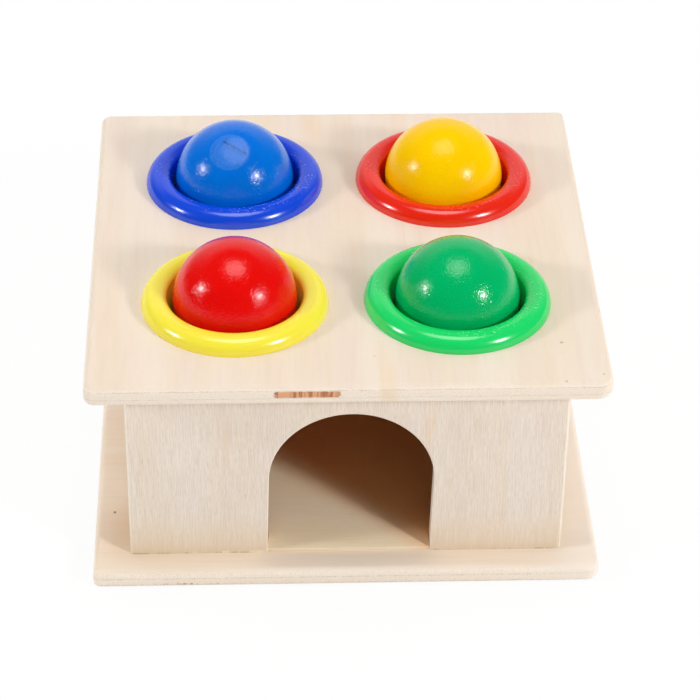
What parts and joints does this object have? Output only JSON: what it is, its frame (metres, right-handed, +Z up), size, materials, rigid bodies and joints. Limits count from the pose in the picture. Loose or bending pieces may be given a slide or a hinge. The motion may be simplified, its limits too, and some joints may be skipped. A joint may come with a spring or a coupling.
{
  "type": "ball pounding toy",
  "caption": "Square plywood box toy whose top plate holds painted wooden balls in soft plastic rings; a pounded ball drops on a ramp and rolls out of an arch in front.",
  "frame": {"origin": "centre of the base plate's underside, which stands on the table", "axes": "+Z up, -Y towards the arch in the front wall, +X to the right seen from the front"},
  "size_m": [0.123, 0.123, 0.0763],
  "materials": {
    "plywood": "sanded bare plywood",
    "ramp_wood": "sanded bare plywood",
    "blue_plastic": "moulded, glossy",
    "red_plastic": "moulded, glossy",
    "yellow_plastic": "moulded, glossy",
    "green_plastic": "moulded, glossy",
    "blue_paint": "gloss paint on wood",
    "yellow_paint": "gloss paint on wood",
    "red_paint": "gloss paint on wood",
    "green_paint": "gloss paint on wood",
    "brad_steel": "bright wire"
  },
  "bodies": {
    "box": {"base_plate": "plywood", "front_wall": "plywood", "back_wall": "plywood", "left_wall": "plywood", "right_wall": "plywood", "top_plate": "plywood", "ramp_board": "ramp_wood", "ramp_batten": "ramp_wood", "blue_ring": "blue_plastic", "red_ring": "red_plastic", "yellow_ring": "yellow_plastic", "green_ring": "green_plastic", "top_brad_front_left": "brad_steel", "top_brad_front_right": "brad_steel", "top_brad_back_left": "brad_steel", "top_brad_back_right": "brad_steel", "top_brad_left_front": "brad_steel", "top_brad_left_back": "brad_steel", "top_brad_right_front": "brad_steel", "top_brad_right_back": "brad_steel", "base_brad_front_left": "brad_steel", "base_brad_front_right": "brad_steel", "base_brad_back_left": "brad_steel", "base_brad_back_right": "brad_steel", "base_brad_left_front": "brad_steel", "base_brad_left_back": "brad_steel", "base_brad_right_front": "brad_steel", "base_brad_right_back": "brad_steel"},
    "blue_ball": {"blue_ball": "blue_paint"},
    "yellow_ball": {"yellow_ball": "yellow_paint"},
    "red_ball": {"red_ball": "red_paint"},
    "green_ball": {"green_ball": "green_paint"}
  },
  "joints": [
    {"name": "blue_ball_drop", "type": "slide", "parent": "box", "child": "blue_ball", "axis": [0, 0, 1], "range_m": [-0.0271, 0.03], "deforming": ["blue_ring"]},
    {"name": "yellow_ball_drop", "type": "slide", "parent": "box", "child": "yellow_ball", "axis": [0, 0, 1], "range_m": [-0.0273, 0.03], "deforming": ["red_ring"]},
    {"name": "red_ball_drop", "type": "slide", "parent": "box", "child": "red_ball", "axis": [0, 0, 1], "range_m": [-0.0357, 0.03], "deforming": ["yellow_ring"]},
    {"name": "green_ball_drop", "type": "slide", "parent": "box", "child": "green_ball", "axis": [0, 0, 1], "range_m": [-0.0353, 0.03], "deforming": ["green_ring"]}
  ]
}
